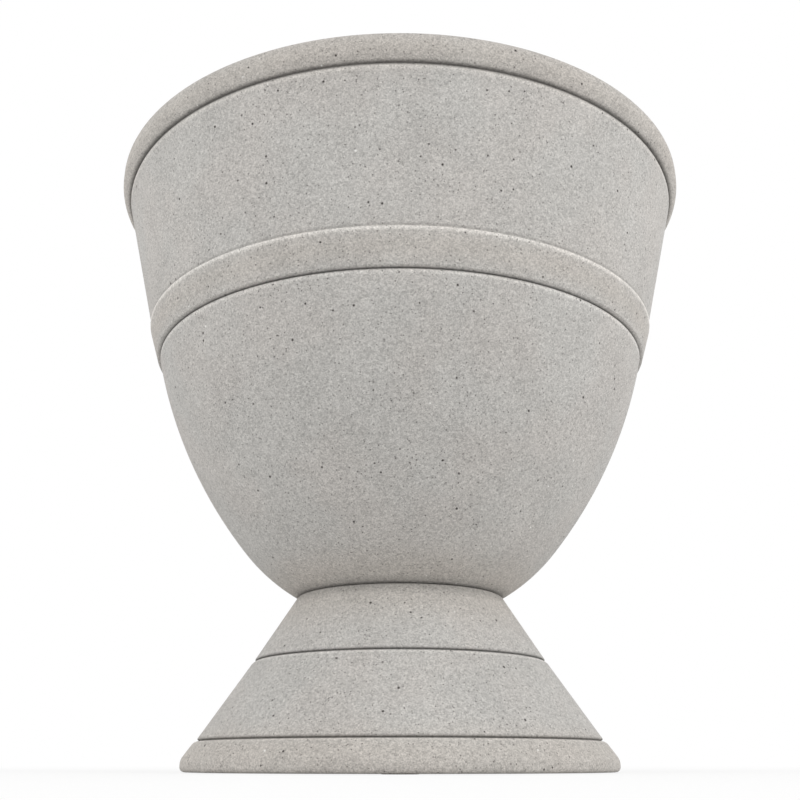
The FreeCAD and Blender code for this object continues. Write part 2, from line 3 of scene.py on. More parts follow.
import bmesh
import bpy
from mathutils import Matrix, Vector


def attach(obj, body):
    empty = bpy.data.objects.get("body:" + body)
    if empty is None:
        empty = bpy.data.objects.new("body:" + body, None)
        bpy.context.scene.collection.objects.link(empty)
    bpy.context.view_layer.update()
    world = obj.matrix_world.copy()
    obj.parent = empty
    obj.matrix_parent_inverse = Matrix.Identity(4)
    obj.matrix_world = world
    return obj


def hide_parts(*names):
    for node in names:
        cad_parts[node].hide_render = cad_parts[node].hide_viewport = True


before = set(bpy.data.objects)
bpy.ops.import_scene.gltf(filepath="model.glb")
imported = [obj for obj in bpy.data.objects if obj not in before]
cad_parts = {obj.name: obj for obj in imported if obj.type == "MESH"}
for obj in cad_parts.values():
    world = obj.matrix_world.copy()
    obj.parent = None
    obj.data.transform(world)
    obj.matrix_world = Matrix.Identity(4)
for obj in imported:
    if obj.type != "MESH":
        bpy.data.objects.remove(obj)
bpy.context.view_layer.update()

# Cast concrete urn planter. All lengths in the script are metres.


def clearSelection():
    for item in list(bpy.context.selected_objects):
        item.select_set(False)


def chooseOnly(piece):
    clearSelection()
    piece.select_set(True)
    bpy.context.view_layer.objects.active = piece


def beginRing(name, radius, height, sides):
    # one open ring of edges, left in edit mode with the ring selected
    clearSelection()
    bpy.ops.mesh.primitive_circle_add(vertices=sides, radius=radius, location=(0, 0, height))
    piece = bpy.context.object
    piece.name = name
    piece.data.name = name
    bpy.ops.object.transform_apply(location=True, rotation=True, scale=True)
    bpy.ops.object.mode_set(mode="EDIT")
    bpy.ops.mesh.select_all(action="SELECT")
    return piece


def pullRing(start, end):
    # extrudes the selected ring from one (radius, height) to the next
    bpy.ops.mesh.extrude_region_move(
        TRANSFORM_OT_translate={"value": (0, 0, end[1] - start[1])}
    )
    grow = end[0] / start[0]
    bpy.ops.transform.resize(value=(grow, grow, 1), center_override=(0, 0, end[1]))


def selectRing(piece, radius, height):
    # selects the closed loop of edges at a radius and a height
    bpy.ops.mesh.select_all(action="DESELECT")
    mesh = bmesh.from_edit_mesh(piece.data)
    ring = set()
    for vertex in mesh.verts:
        if abs(vertex.co.xy.length - radius) < 2e-5 and abs(vertex.co.z - height) < 2e-5:
            ring.add(vertex)
    for edge in mesh.edges:
        if ring.issuperset(edge.verts):
            edge.select = True
    bmesh.update_edit_mesh(piece.data)


def roundRing(piece, before, corner, after, rounding, segments):
    # bevels the loop at a corner so that its arc has the rounding as radius
    back = Vector((before[0] - corner[0], before[1] - corner[1]))
    ahead = Vector((after[0] - corner[0], after[1] - corner[1]))
    offset = rounding / math.tan(back.angle(ahead) / 2)
    selectRing(piece, corner[0], corner[1])
    bpy.ops.mesh.bevel(offset=offset, segments=segments, profile=0.5, affect="EDGES")


def turnPiece(name, corners, sides, closed=True):
    # pulls a ring along (radius, height, rounding, segments) corners and rounds them
    piece = beginRing(name, corners[0][0], corners[0][1], sides)
    for start, end in zip(corners, corners[1:]):
        pullRing(start, end)
    if closed:
        pullRing(corners[-1], corners[0])
    bpy.ops.mesh.select_all(action="SELECT")
    bpy.ops.mesh.remove_doubles(threshold=1e-6)
    bpy.ops.mesh.normals_make_consistent(inside=False)
    for index, corner in enumerate(corners):
        if len(corner) > 2:
            before = corners[index - 1]
            after = corners[(index + 1) % len(corners)]
            roundRing(piece, before, corner, after, corner[2], corner[3])
    bpy.ops.object.mode_set(mode="OBJECT")
    return piece


def smoothPiece(piece, angle=30):
    chooseOnly(piece)
    bpy.ops.object.shade_smooth_by_angle(angle=math.radians(angle))


def arcPoints(centre, radius, fromAngle, toAngle, count):
    # points on an arc, from one angle below the level to another
    points = []
    for step in range(count + 1):
        angle = fromAngle + (toAngle - fromAngle) * step / count
        points.append((centre[0] + radius * math.cos(angle), centre[1] - radius * math.sin(angle)))
    return points


def cutWith(piece, tool, operation="DIFFERENCE"):
    # boolean, applied, and the tool body removed
    chooseOnly(piece)
    cut = piece.modifiers.new("cut", "BOOLEAN")
    cut.operation = operation
    cut.solver = "EXACT"
    cut.object = tool
    bpy.ops.object.modifier_apply(modifier=cut.name)
    bpy.data.objects.remove(tool)


def roundPlaces(circle, count):
    angles = [2 * math.pi * step / count for step in range(count)]
    return [(circle * math.cos(angle), circle * math.sin(angle), 0) for angle in angles]


def drillHole(piece, radius, bottom, top, place=(0, 0, 0), sides=48):
    clearSelection()
    bpy.ops.mesh.primitive_cylinder_add(
        vertices=sides,
        radius=radius,
        depth=top - bottom,
        location=(place[0], place[1], (top + bottom) / 2),
    )
    cutWith(piece, bpy.context.object)


def drillRound(piece, radius, circle, count, bottom, top):
    # evenly spaced holes about the axis
    for place in roundPlaces(circle, count):
        drillHole(piece, radius, bottom, top, place)


def closeEnds(piece, sides=0):
    # fills open loops of up to that many edges, or of any number with 0
    chooseOnly(piece)
    bpy.ops.object.mode_set(mode="EDIT")
    bpy.ops.mesh.select_all(action="SELECT")
    bpy.ops.mesh.fill_holes(sides=sides)
    bpy.ops.mesh.select_all(action="SELECT")
    bpy.ops.mesh.normals_make_consistent(inside=False)
    bpy.ops.object.mode_set(mode="OBJECT")


def turnSolid(name, corners, sides):
    # like turnPiece, for a solid that reaches the axis: its first and last rings are filled
    piece = turnPiece(name, corners, sides, closed=False)
    closeEnds(piece)
    return piece


def joinPieces(name, pieces):
    chooseOnly(pieces[0])
    for piece in pieces[1:]:
        piece.select_set(True)
    bpy.ops.object.join()
    pieces[0].name = name
    pieces[0].data.name = name
    return pieces[0]


def copyPiece(piece, name, place):
    twin = piece.copy()
    twin.data = piece.data.copy()
    twin.name = name
    twin.data.name = name
    bpy.context.scene.collection.objects.link(twin)
    chooseOnly(twin)
    twin.location = place
    bpy.ops.object.transform_apply(location=True, rotation=True, scale=True)
    return twin


def softenEdges(piece, width, segments=2):
    chooseOnly(piece)
    soft = piece.modifiers.new("soften", "BEVEL")
    soft.width = width
    soft.segments = segments
    soft.limit_method = "ANGLE"
    soft.angle_limit = math.radians(25)
    bpy.ops.object.modifier_apply(modifier=soft.name)


def cutHexagon(name, flats, bottom, top, chamferTop, chamferBottom, faceShare=0.95):
    # a hexagon prism with its corners turned down at 30 degrees on the sides asked for
    clearSelection()
    tall = top - bottom
    bpy.ops.mesh.primitive_cylinder_add(
        vertices=6,
        radius=flats / 2 / math.cos(math.pi / 6),
        depth=tall,
        location=(0, 0, (top + bottom) / 2),
        rotation=(0, 0, math.radians(30)),
    )
    piece = bpy.context.object
    piece.name = name
    bpy.ops.object.transform_apply(location=True, rotation=True, scale=True)
    face = flats / 2 * faceShare
    wide = face + tall * math.sqrt(3)
    for wanted, low, high in ((chamferTop, wide, face), (chamferBottom, face, wide)):
        if wanted:
            clearSelection()
            bpy.ops.mesh.primitive_cone_add(
                vertices=72,
                radius1=low,
                radius2=high,
                depth=tall,
                location=(0, 0, (top + bottom) / 2),
            )
            cutWith(piece, bpy.context.object, "INTERSECT")
    return piece


def windThread(name, radius, pitch, bottom, turns):
    # a sharp ridge wound up a rod, one pitch a turn
    side = pitch / math.sqrt(3)
    clearSelection()
    bpy.ops.mesh.primitive_circle_add(
        vertices=3,
        radius=side,
        location=(radius - side, 0, bottom + pitch / 2),
        rotation=(math.pi / 2, math.pi / 2, 0),
    )
    piece = bpy.context.object
    piece.name = name
    bpy.ops.object.transform_apply(location=True, rotation=True, scale=True)
    wind = piece.modifiers.new("wind", "SCREW")
    wind.axis = "Z"
    wind.angle = 2 * math.pi
    wind.screw_offset = pitch
    wind.iterations = turns
    wind.steps = 36
    wind.render_steps = 36
    bpy.ops.object.modifier_apply(modifier=wind.name)
    closeEnds(piece, 3)
    return piece


def finishPiece(piece, body, slot, *nodes):
    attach(piece, body)
    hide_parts(*nodes)


# Shader groups, each built once and placed in the materials that use it.


def newGroup(name, inputs, outputs):
    group = bpy.data.node_groups.new(name, "ShaderNodeTree")
    for label, kind, value in inputs:
        socket = group.interface.new_socket(label, in_out="INPUT", socket_type=kind)
        if value is not None:
            socket.default_value = value
    for label, kind in outputs:
        group.interface.new_socket(label, in_out="OUTPUT", socket_type=kind)
    return group, group.nodes.new("NodeGroupInput"), group.nodes.new("NodeGroupOutput")


def mathNode(tree, operation, first, second=None, clamp=False):
    node = tree.nodes.new("ShaderNodeMath")
    node.operation = operation
    node.use_clamp = clamp
    for socket, value in zip(node.inputs, (first, second)):
        if isinstance(value, bpy.types.NodeSocket):
            tree.links.new(value, socket)
        elif value is not None:
            socket.default_value = value
    return node.outputs[0]


def rangeNode(tree, value, low, high, toLow=0.0, toHigh=1.0, smooth=False):
    node = tree.nodes.new("ShaderNodeMapRange")
    node.interpolation_type = "SMOOTHSTEP" if smooth else "LINEAR"
    tree.links.new(value, node.inputs["Value"])
    labels = ("From Min", "From Max", "To Min", "To Max")
    for label, amount in zip(labels, (low, high, toLow, toHigh)):
        if isinstance(amount, bpy.types.NodeSocket):
            tree.links.new(amount, node.inputs[label])
        else:
            node.inputs[label].default_value = amount
    return node.outputs["Result"]


def noiseNode(tree, vector, scale, detail=2.0, roughness=0.5):
    node = tree.nodes.new("ShaderNodeTexNoise")
    tree.links.new(vector, node.inputs["Vector"])
    tree.links.new(scale, node.inputs["Scale"])
    node.inputs["Detail"].default_value = detail
    node.inputs["Roughness"].default_value = roughness
    return node


def cellNode(tree, vector, scale):
    node = tree.nodes.new("ShaderNodeTexVoronoi")
    tree.links.new(vector, node.inputs["Vector"])
    tree.links.new(scale, node.inputs["Scale"])
    return node


sandShape = {
    "wideScale": 0.42,
    "wideShare": 0.55,
    "coarseScale": 0.30,
    "coarseDetail": 3.0,
    "coarseRoughness": 0.7,
    "coarseShare": 0.6,
    "cellShare": 0.6,  # of the cells in the height
}


def buildSandGrain(shape):
    # fine sand in the paste: a tone around zero and a height
    group, entry, leave = newGroup(
        "sandGrain",
        [("Vector", "NodeSocketVector", None), ("Grain Size", "NodeSocketFloat", 0.0008)],
        [("Tone", "NodeSocketFloat"), ("Height", "NodeSocketFloat")],
    )
    vector = entry.outputs["Vector"]
    scale = mathNode(group, "DIVIDE", 1.0, entry.outputs["Grain Size"])
    cells = cellNode(group, vector, scale)
    split = group.nodes.new("ShaderNodeSeparateColor")
    group.links.new(cells.outputs["Color"], split.inputs["Color"])
    wide = cellNode(group, vector, mathNode(group, "MULTIPLY", scale, shape["wideScale"]))
    wideSplit = group.nodes.new("ShaderNodeSeparateColor")
    group.links.new(wide.outputs["Color"], wideSplit.inputs["Color"])
    coarse = noiseNode(
        group,
        vector,
        mathNode(group, "MULTIPLY", scale, shape["coarseScale"]),
        shape["coarseDetail"],
        shape["coarseRoughness"],
    )
    cellTone = mathNode(group, "SUBTRACT", split.outputs[0], 0.5)
    wideTone = mathNode(group, "SUBTRACT", wideSplit.outputs[0], 0.5)
    wideTone = mathNode(group, "MULTIPLY", wideTone, shape["wideShare"])
    coarseTone = mathNode(group, "SUBTRACT", coarse.outputs[0], 0.5)
    tone = mathNode(
        group,
        "ADD",
        mathNode(group, "ADD", cellTone, wideTone),
        mathNode(group, "MULTIPLY", coarseTone, shape["coarseShare"]),
    )
    cellHeight = mathNode(group, "MULTIPLY", split.outputs[1], shape["cellShare"])
    height = mathNode(group, "ADD", cellHeight, coarse.outputs[0])
    group.links.new(tone, leave.inputs["Tone"])
    group.links.new(height, leave.inputs["Height"])
    return group


pitShape = {
    "smallest": 0.45,  # size of a pit against the radius asked for
    "largest": 1.2,
    "floor": 0.45,  # where the pit's floor begins, as a share of its radius
}


def buildPinHoles(shape):
    # sparse round pits: a mask that is one inside a pit
    group, entry, leave = newGroup(
        "pinHoles",
        [
            ("Vector", "NodeSocketVector", None),
            ("Spacing", "NodeSocketFloat", 0.01),
            ("Radius", "NodeSocketFloat", 0.0007),
        ],
        [("Mask", "NodeSocketFloat")],
    )
    scale = mathNode(group, "DIVIDE", 1.0, entry.outputs["Spacing"])
    cells = cellNode(group, entry.outputs["Vector"], scale)
    split = group.nodes.new("ShaderNodeSeparateColor")
    group.links.new(cells.outputs["Color"], split.inputs["Color"])
    reach = mathNode(group, "MULTIPLY", entry.outputs["Radius"], scale)
    pitSize = rangeNode(group, split.outputs[0], 0.0, 1.0, shape["smallest"], shape["largest"])
    reach = mathNode(group, "MULTIPLY", reach, pitSize)
    inner = mathNode(group, "MULTIPLY", reach, shape["floor"])
    mask = rangeNode(group, cells.outputs["Distance"], reach, inner, 0.0, 1.0)
    group.links.new(mask, leave.inputs["Mask"])
    return group


mottleShape = {
    "detail": 3.0,
    "roughness": 0.55,
    "tintScale": 0.62,  # of the tint's noise against the tone's
    "tintLow": 0.35,
    "tintHigh": 0.65,
}


def buildCastMottle(shape):
    # slow changes of tone and tint from one pour to the next
    group, entry, leave = newGroup(
        "castMottle",
        [("Vector", "NodeSocketVector", None), ("Patch Size", "NodeSocketFloat", 0.03)],
        [("Tone", "NodeSocketFloat"), ("Tint", "NodeSocketFloat")],
    )
    vector = entry.outputs["Vector"]
    scale = mathNode(group, "DIVIDE", 1.0, entry.outputs["Patch Size"])
    wide = noiseNode(group, vector, scale, shape["detail"], shape["roughness"])
    other = noiseNode(group, vector, mathNode(group, "MULTIPLY", scale, shape["tintScale"]))
    group.links.new(mathNode(group, "SUBTRACT", wide.outputs[0], 0.5), leave.inputs["Tone"])
    tint = rangeNode(group, other.outputs[0], shape["tintLow"], shape["tintHigh"], smooth=True)
    group.links.new(tint, leave.inputs["Tint"])
    return group


def buildRingMark():
    # a soft ring round the axis, strongest at a radius and a height
    group, entry, leave = newGroup(
        "ringMark",
        [
            ("Vector", "NodeSocketVector", None),
            ("Radius", "NodeSocketFloat", 0.1),
            ("Height", "NodeSocketFloat", 0.1),
            ("Reach", "NodeSocketFloat", 0.003),
        ],
        [("Mask", "NodeSocketFloat")],
    )
    split = group.nodes.new("ShaderNodeSeparateXYZ")
    group.links.new(entry.outputs["Vector"], split.inputs[0])
    across = mathNode(group, "POWER", split.outputs[0], 2.0)
    along = mathNode(group, "POWER", split.outputs[1], 2.0)
    radius = mathNode(group, "SQRT", mathNode(group, "ADD", across, along))
    out = mathNode(group, "SUBTRACT", radius, entry.outputs["Radius"])
    up = mathNode(group, "SUBTRACT", split.outputs[2], entry.outputs["Height"])
    squares = mathNode(
        group, "ADD", mathNode(group, "POWER", out, 2.0), mathNode(group, "POWER", up, 2.0)
    )
    reach = mathNode(group, "DIVIDE", mathNode(group, "SQRT", squares), entry.outputs["Reach"])
    mask = rangeNode(group, reach, 0.0, 1.0, 1.0, 0.0, True)
    group.links.new(mask, leave.inputs["Mask"])
    return group


def placeGroup(tree, group, vector, **values):
    node = tree.nodes.new("ShaderNodeGroup")
    node.node_tree = group
    tree.links.new(vector, node.inputs["Vector"])
    for label, value in values.items():
        node.inputs[label].default_value = value
    return node


def newMaterial(name):
    material = bpy.data.materials.new(name)
    material.use_nodes = True
    tree = material.node_tree
    tree.nodes.clear()
    shader = tree.nodes.new("ShaderNodeBsdfPrincipled")
    output = tree.nodes.new("ShaderNodeOutputMaterial")
    tree.links.new(shader.outputs[0], output.inputs["Surface"])
    coordinates = tree.nodes.new("ShaderNodeTexCoord")
    return material, tree, shader, coordinates.outputs["Object"]


def colourMix(tree, factor, first, second):
    node = tree.nodes.new("ShaderNodeMix")
    node.data_type = "RGBA"
    sockets = [node.inputs[0], node.inputs[6], node.inputs[7]]
    for socket, value in zip(sockets, (factor, first, second)):
        if isinstance(value, bpy.types.NodeSocket):
            tree.links.new(value, socket)
        else:
            socket.default_value = value
    return node.outputs[2]


def bumpNode(tree, height, distance, strength=1.0, normal=None):
    node = tree.nodes.new("ShaderNodeBump")
    tree.links.new(height, node.inputs["Height"])
    node.inputs["Distance"].default_value = distance
    node.inputs["Strength"].default_value = strength
    if normal is not None:
        tree.links.new(normal, node.inputs["Normal"])
    return node.outputs["Normal"]


sandGrain = buildSandGrain(sandShape)
pinHoles = buildPinHoles(pitShape)
castMottle = buildCastMottle(mottleShape)
ringMark = buildRingMark()

concreteLook = {
    "warm": (0.522, 0.500, 0.474, 1),
    "cool": (0.514, 0.501, 0.478, 1),
    "stain": (0.515, 0.474, 0.428, 1),
    # near-black painted shade for the inside of the pits
    "pit": (0.060, 0.055, 0.050, 1),
    "speck": (0.860, 0.850, 0.820, 1),
    "grainSize": 0.00050,
    "grainContrast": 0.46,
    "mottleContrast": 0.22,
    "patchSize": 0.032,
    "pitSpacing": 0.0085,
    "pitRadius": 0.00085,
    "fineSpacing": 0.0024,
    "fineRadius": 0.00046,
    "fineShare": 0.70,
    "speckSpacing": 0.0150,
    "speckRadius": 0.0008,
    "speckShare": 0.9,
    "speckShift": (0.31, 0.17, 0.23),  # so that the specks don't follow the pits
    "roughLow": 0.82,
    "roughHigh": 0.97,
    "specular": 0.3,
    "grainRelief": 0.00006,
    "grainStrength": 0.6,
    "pitRelief": 0.00060,
    "pitStrength": 0.8,
    # radius, height, reach and strength of each rounded edge lightened by a painted highlight
    "rubbed": [
        (0.1966, 0.3803, 0.0030, 0.24),
        (0.1764, 0.2878, 0.0026, 0.52),
        (0.1672, 0.2656, 0.0032, 0.36),
        (0.0945, 0.0648, 0.0020, 0.26),
        (0.1276, 0.0168, 0.0018, 0.22),
    ],
    # the same of each crease darkened with painted shade, and of a wider painted shadow on the
    # neck under the bowl
    "soiled": [
        (0.1966, 0.3830, 0.0030, 0.72),
        (0.1741, 0.2903, 0.0018, 0.55),
        (0.1668, 0.2670, 0.0024, 0.70),
        (0.0668, 0.1082, 0.0030, 0.55),
        (0.0690, 0.1065, 0.0080, 0.22),
        (0.0925, 0.0662, 0.0019, 0.55),
        (0.1256, 0.0184, 0.0020, 0.50),
    ],
    # and of each area that rain has stained
    "stained": [
        (0.2000, 0.3900, 0.0160, 0.60),
        (0.1740, 0.2780, 0.0160, 0.45),
        (0.0800, 0.1050, 0.0300, 0.60),
        (0.1300, 0.0080, 0.0260, 0.55),
    ],
}


def joinRings(tree, place, marks):
    # the strongest of several ring marks, each a radius, a height, a reach and a strength
    total = None
    for radius, height, reach, strength in marks:
        ring = placeGroup(tree, ringMark, place, Radius=radius, Height=height, Reach=reach)
        mask = mathNode(tree, "MULTIPLY", ring.outputs["Mask"], strength)
        total = mask if total is None else mathNode(tree, "MAXIMUM", total, mask)
    return total


def makeConcrete(look):
    material, tree, shader, place = newMaterial("castConcrete")
    mottle = placeGroup(tree, castMottle, place, **{"Patch Size": look["patchSize"]})
    grain = placeGroup(tree, sandGrain, place, **{"Grain Size": look["grainSize"]})
    pits = placeGroup(
        tree, pinHoles, place, Spacing=look["pitSpacing"], Radius=look["pitRadius"]
    )
    finePits = placeGroup(
        tree, pinHoles, place, Spacing=look["fineSpacing"], Radius=look["fineRadius"]
    )
    shifted = tree.nodes.new("ShaderNodeMapping")
    shifted.inputs["Location"].default_value = look["speckShift"]
    tree.links.new(place, shifted.inputs["Vector"])
    specks = placeGroup(
        tree,
        pinHoles,
        shifted.outputs[0],
        Spacing=look["speckSpacing"],
        Radius=look["speckRadius"],
    )
    colour = colourMix(tree, mottle.outputs["Tint"], look["warm"], look["cool"])
    colour = colourMix(tree, joinRings(tree, place, look["stained"]), colour, look["stain"])
    tone = mathNode(tree, "MULTIPLY", mottle.outputs["Tone"], look["mottleContrast"])
    sand = mathNode(tree, "MULTIPLY", grain.outputs["Tone"], look["grainContrast"])
    factor = mathNode(tree, "ADD", 1.0, mathNode(tree, "ADD", tone, sand))
    # painted highlight: lighter tone along the rounded edges below each line
    rubbed = joinRings(tree, place, look["rubbed"])
    # painted shade: darker tone in the creases and a painted shadow on the neck under the bowl
    soiled = joinRings(tree, place, look["soiled"])
    factor = mathNode(tree, "MULTIPLY", factor, mathNode(tree, "ADD", 1.0, rubbed))
    factor = mathNode(tree, "MULTIPLY", factor, mathNode(tree, "SUBTRACT", 1.0, soiled))
    scaled = tree.nodes.new("ShaderNodeVectorMath")
    scaled.operation = "SCALE"
    tree.links.new(colour, scaled.inputs[0])
    tree.links.new(factor, scaled.inputs["Scale"])
    # the pits are real hollows in the relief; their near-black colour is painted shade
    fineMask = mathNode(tree, "MULTIPLY", finePits.outputs["Mask"], look["fineShare"])
    colour = colourMix(tree, fineMask, scaled.outputs[0], look["pit"])
    colour = colourMix(tree, pits.outputs["Mask"], colour, look["pit"])
    speckMask = mathNode(tree, "MULTIPLY", specks.outputs["Mask"], look["speckShare"])
    colour = colourMix(tree, speckMask, colour, look["speck"])
    tree.links.new(colour, shader.inputs["Base Color"])
    rough = rangeNode(
        tree, grain.outputs["Height"], 0.3, 1.3, look["roughLow"], look["roughHigh"]
    )
    tree.links.new(rough, shader.inputs["Roughness"])
    shader.inputs["Specular IOR Level"].default_value = look["specular"]
    grainNormal = bumpNode(
        tree, grain.outputs["Height"], look["grainRelief"], look["grainStrength"]
    )
    hollow = mathNode(
        tree, "MULTIPLY", mathNode(tree, "ADD", pits.outputs["Mask"], fineMask), -1.0
    )
    pitNormal = bumpNode(tree, hollow, look["pitRelief"], look["pitStrength"], grainNormal)
    tree.links.new(pitNormal, shader.inputs["Normal"])
    return material


concrete = makeConcrete(concreteLook)
print("concrete material ready")


# The bowl: rim lip, crease, wall, band, groove, belly, heel and spigot in one casting.
bowl = {
    "sides": 256,
    "lipBellyRadius": 0.20294,
    "lipTopRadius": 0.2028,
    "rimHeight": 0.4000,
    "lipBottom": 0.3825,
    "creaseRadius": 0.1973,
    "lipUnder": 0.1992,
    "lipBelly": 0.3885,
    "lipLowerRound": 0.0050,
    "lipBellyRound": 0.0090,
    "lipUpperRound": 0.0045,
    "lipInnerRound": 0.0060,
    "creaseGroove": 0.0010,
    "bandTop": 0.2890,
    "bandWall": 0.1749,
    "bandProud": 0.0013,
    "bandBottom": 0.2675,
    "bandRound": 0.0009,
    "bellyTop": 0.2659,
    "bellyStep": 0.0018,
    "grooveDepth": 0.0011,
    "bellyBulge": 0.0082,
    "kneeOut": 0.0372,
    "kneeUp": 0.0305,
    "baseRadius": 0.0665,
    "baseHeight": 0.1075,
    "baseRound": 0.0008,
    "spigotRadius": 0.0290,
    "spigotBottom": 0.1025,
    "wall": 0.0180,
    "floorHeight": 0.1295,
    "drainRadius": 0.0130,
    "recessRadius": 0.0200,
    "recessBottom": 0.1250,
    "boltCircle": 0.0420,
    "boltHole": 0.0048,
    "boltHoleSpan": (0.100, 0.135),
    "creaseRise": 0.0003,  # from the crease up to the lip's underside
    "creaseSpan": 0.0020,
    "recessRound": 0.0010,
}


def bowlCorners(size):
    flare = (size["creaseRadius"] - size["bandWall"]) / (size["lipBottom"] - size["bandTop"])

    def wallAt(height):
        return size["creaseRadius"] - (size["lipBottom"] - height) * flare

    bellyTop = (wallAt(size["bellyTop"]) - size["bellyStep"], size["bellyTop"])
    knee = (size["baseRadius"] + size["kneeOut"], size["baseHeight"] + size["kneeUp"])
    chord = Vector(bellyTop) - Vector(knee)
    bellyRadius = chord.length_squared / 8 / size["bellyBulge"] + size["bellyBulge"] / 2
    halfTurn = math.asin(chord.length / 2 / bellyRadius)
    lean = math.atan2(chord.x, chord.y) - halfTurn
    kneeAngle = lean + 2 * halfTurn
    centre = (
        bellyTop[0] - bellyRadius * math.cos(lean),
        bellyTop[1] + bellyRadius * math.sin(lean),
    )
    reach = Vector(knee) - Vector((size["baseRadius"], size["baseHeight"]))
    out = Vector((math.cos(kneeAngle), -math.sin(kneeAngle)))
    heelRadius = reach.dot(reach) / (2 * reach.dot(out))
    heelCentre = Vector(knee) - out * heelRadius
    baseAngle = math.asin((heelCentre[1] - size["baseHeight"]) / heelRadius)
    innerHeel = heelRadius - size["wall"]
    floorAngle = math.asin((heelCentre[1] - size["floorHeight"]) / innerHeel)
    heel = arcPoints(heelCentre, heelRadius, baseAngle, kneeAngle, 12)
    belly = arcPoints(centre, bellyRadius, kneeAngle, lean, 26)
    innerBelly = arcPoints(centre, bellyRadius - size["wall"], lean, kneeAngle, 22)
    innerHeelPoints = arcPoints(heelCentre, innerHeel, kneeAngle, floorAngle, 10)
    level = size["wall"] * math.sqrt(1 + flare * flare)
    rimInside = size["creaseRadius"] + (size["rimHeight"] - size["lipBottom"]) * flare - level
    groove = size["bellyTop"] + (size["bandBottom"] - size["bellyTop"]) / 2
    creaseStart = size["lipBottom"] - size["creaseSpan"]
    corners = [
        (size["drainRadius"], size["spigotBottom"]),
        (size["spigotRadius"], size["spigotBottom"]),
        (size["spigotRadius"], size["baseHeight"]),
        (size["baseRadius"], size["baseHeight"], size["baseRound"], 4),
    ]
    corners += heel[1:]
    corners += belly[1:-1]
    corners += [
        bellyTop + (size["bandRound"], 4),
        (bellyTop[0] - size["grooveDepth"], groove),
        (wallAt(size["bandBottom"]), size["bandBottom"], size["bandRound"], 4),
        (wallAt(size["bandTop"]) + size["bandProud"], size["bandTop"], size["bandRound"], 4),
        (size["bandWall"], size["bandTop"]),
        (wallAt(creaseStart), creaseStart),
        (size["creaseRadius"] - size["creaseGroove"], size["lipBottom"]),
        (size["lipUnder"], size["lipBottom"] + size["creaseRise"], size["lipLowerRound"], 5),
        (size["lipBellyRadius"], size["lipBelly"], size["lipBellyRound"], 7),
        (size["lipTopRadius"], size["rimHeight"], size["lipUpperRound"], 7),
        (rimInside, size["rimHeight"], size["lipInnerRound"], 6),
    ]
    corners += innerBelly[:-1]
    corners += innerHeelPoints
    corners += [
        (size["recessRadius"], size["floorHeight"], size["recessRound"], 3),
        (size["recessRadius"], size["recessBottom"]),
        (size["drainRadius"], size["recessBottom"]),
    ]
    return corners


def makeBowl(size):
    piece = turnPiece("bowlCasting", bowlCorners(size), size["sides"])
    drillRound(piece, size["boltHole"], size["boltCircle"], 3, *size["boltHoleSpan"])
    smoothPiece(piece, 35)
    piece.data.materials.append(concrete)
    finishPiece(piece, "urn", "concrete", "bowl")
    return piece


bowlPiece = makeBowl(bowl)
print("bowl ready:", len(bowlPiece.data.polygons), "faces")


# The foot: neck, two reveals, plinth and hollow in one casting.
foot = {
    "sides": 256,
    "deckHeight": 0.1065,
    "deckEdge": 0.1072,
    "deckThick": 0.0240,
    "neckRadius": 0.0672,
    "neckRound": 0.0024,
    "recessRadius": 0.0600,
    "recessBottom": 0.1045,
    "socketRadius": 0.0300,
    "socketBottom": 0.1015,
    "upperHeight": 0.0660,
    "upperRadius": 0.0939,
    "lowerHeight": 0.0181,
    "lowerRadius": 0.1270,
    "revealDepth": 0.0021,
    "revealHalf": 0.0008,
    "edgeRound": 0.0008,
    "shoulderRound": 0.0045,
    "plinthTop": 0.1277,
    "plinthRadius": 0.1357,
    "plinthEdge": 0.0072,
    "plinthRound": 0.0070,
    "plinthFoot": 0.0030,
    "bottom": 0.0003,
    "mouthRadius": 0.1047,
    "wall": 0.0220,
    "hollowRound": 0.0070,
    "drainRadius": 0.0130,
    "boltCircle": 0.0420,
    "boltHole": 0.0048,
    "padCircle": 0.1193,
    "padPocket": 0.0103,
    "padDepth": 0.0027,
    "boltHoleSpan": (0.080, 0.110),
    "mouthRound": 0.0010,
}


def footCorners(size):
    upperSlope = (size["upperRadius"] - size["neckRadius"]) / (
        size["deckHeight"] - size["upperHeight"]
    )
    lowerSlope = (size["lowerRadius"] - size["upperRadius"]) / (
        size["upperHeight"] - size["lowerHeight"]
    )
    plinthSlope = (size["plinthRadius"] - size["plinthTop"]) / (
        size["lowerHeight"] - size["plinthEdge"]
    )
    half = size["revealHalf"]

    def upperAt(height):
        return size["neckRadius"] + (size["deckHeight"] - height) * upperSlope

    def lowerAt(height):
        return size["upperRadius"] + (size["upperHeight"] - height) * lowerSlope

    def plinthAt(height):
        return size["plinthTop"] + (size["lowerHeight"] - height) * plinthSlope

    deckUnder = size["deckHeight"] - size["deckThick"]
    upper, lower = size["upperHeight"], size["lowerHeight"]
    return [
        (size["drainRadius"], size["socketBottom"]),
        (size["drainRadius"], deckUnder),
        (upperAt(deckUnder) - size["wall"], deckUnder, size["hollowRound"], 5),
        (size["mouthRadius"], size["bottom"], size["mouthRound"], 3),
        (size["plinthRadius"], size["bottom"], size["plinthFoot"], 6),
        (size["plinthRadius"], size["plinthEdge"], size["plinthRound"], 7),
        (plinthAt(lower - half), lower - half, size["shoulderRound"], 7),
        (size["lowerRadius"] - size["revealDepth"], lower),
        (lowerAt(lower + half), lower + half, size["edgeRound"], 4),
        (lowerAt(upper - half), upper - half, size["shoulderRound"], 7),
        (size["upperRadius"] - size["revealDepth"], upper),
        (upperAt(upper + half), upper + half, size["edgeRound"], 4),
        (size["neckRadius"], size["deckEdge"], size["neckRound"], 5),
        (size["recessRadius"], size["deckEdge"]),
        (size["recessRadius"], size["recessBottom"]),
        (size["socketRadius"], size["recessBottom"]),
        (size["socketRadius"], size["socketBottom"]),
    ]


